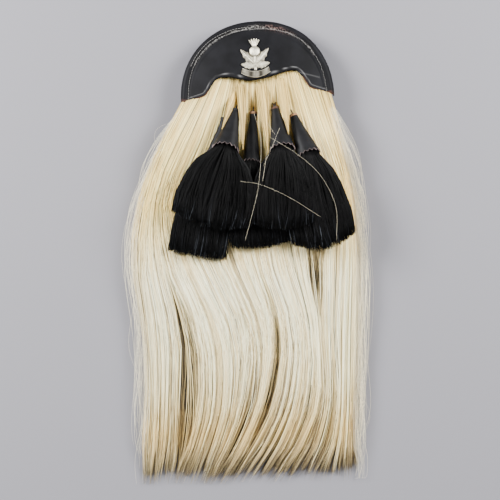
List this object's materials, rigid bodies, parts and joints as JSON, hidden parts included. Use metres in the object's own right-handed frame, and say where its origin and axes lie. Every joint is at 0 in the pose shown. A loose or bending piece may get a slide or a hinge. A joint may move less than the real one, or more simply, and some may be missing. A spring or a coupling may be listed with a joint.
{
  "type": "sporran pouch",
  "caption": "Horsehair dress sporran: leather pouch with a half-round domed top, a long cream hair fall, black hair tassels in leather cones, and strap loops on its back",
  "frame": {"origin": "Middle of the cantle's straight side, on the flat back face of the pouch", "axes": "+Y up the pouch to the crown of the cantle, the hair hangs towards -Y, +Z out of the front, +X to the right as seen from the front"},
  "size_m": [0.2703, 0.5287, 0.06],
  "materials": {
    "black_leather": "smooth satin black leather, worn grey at its edges",
    "silver": "dull cast silver, darker in its hollows",
    "cream_hair": "combed cream horsehair, yellower in the locks and brown in the partings",
    "black_hair": "combed black horsehair with a short bluish glint",
    "cord": "dark brown leather thong"
  },
  "bodies": {
    "root": {"back_panel": "black_leather", "gusset": "black_leather", "front_panel": "black_leather", "strap_loop_left": "black_leather", "strap_loop_right": "black_leather", "cantle": "black_leather", "badge": "silver", "tassel_cone_1": "black_leather", "tassel_hair_1": "black_hair", "tassel_thong_1": "cord", "tassel_cone_2": "black_leather", "tassel_hair_2": "black_hair", "tassel_thong_2": "cord", "tassel_cone_3": "black_leather", "tassel_hair_3": "black_hair", "tassel_thong_3": "cord", "tassel_cone_4": "black_leather", "tassel_hair_4": "black_hair", "tassel_thong_4": "cord", "tassel_cone_5": "black_leather", "tassel_hair_5": "black_hair", "tassel_thong_5": "cord", "horsehair": "cream_hair"}
  },
  "joints": []
}
